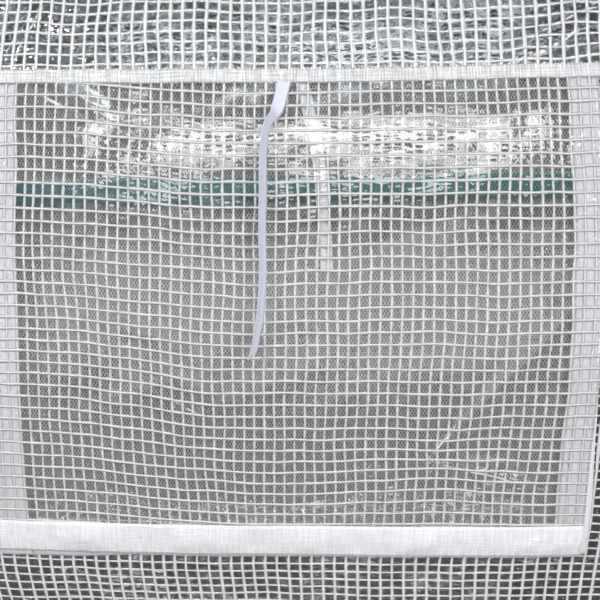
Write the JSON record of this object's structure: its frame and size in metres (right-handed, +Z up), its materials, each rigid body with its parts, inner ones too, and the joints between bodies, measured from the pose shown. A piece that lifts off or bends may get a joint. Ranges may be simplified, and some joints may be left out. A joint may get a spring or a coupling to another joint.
{
  "type": "polytunnel side wall bay with roll-up window",
  "caption": "Side wall bay of a garden polytunnel: bent tube hoops and purlins under clear reinforced film, with a netted window closed by a film flap on fastening tape.",
  "frame": {"origin": "middle of the left foot's underside, on the ground, on the axis of the left hoop's leg", "axes": "+X along the tunnel from the left hoop to the right one as seen from outside, +Y into the tunnel, +Z up"},
  "size_m": [1.044, 0.3616, 1.6583],
  "materials": {
    "powder_coated_tube": "green powder coat, satin",
    "plug_plastic": "black moulded plastic",
    "reinforced_film": "clear glossy film with a grid of white threads",
    "woven_tape": "white woven tape",
    "binding_tape": "white sewn binding",
    "insect_netting": "fine pale grey netting"
  },
  "bodies": {
    "root": {"left_leg_tube": "powder_coated_tube", "right_leg_tube": "powder_coated_tube", "left_bend_tube": "powder_coated_tube", "right_bend_tube": "powder_coated_tube", "left_shoulder_tube": "powder_coated_tube", "right_shoulder_tube": "powder_coated_tube", "base_rail": "powder_coated_tube", "window_purlin": "powder_coated_tube", "shoulder_purlin": "powder_coated_tube", "left_foot_plug": "plug_plastic", "right_foot_plug": "plug_plastic", "left_wall_film": "reinforced_film", "right_wall_film": "reinforced_film", "lower_wall_film": "reinforced_film", "roof_film": "reinforced_film", "flap_film": "reinforced_film", "left_window_tape": "woven_tape", "right_window_tape": "woven_tape", "foot_window_tape": "woven_tape", "left_flap_tape": "woven_tape", "right_flap_tape": "woven_tape", "foot_flap_tape": "woven_tape", "front_tie": "woven_tape", "back_tie": "woven_tape", "flap_binding": "binding_tape", "insect_net": "insect_netting"}
  },
  "joints": []
}
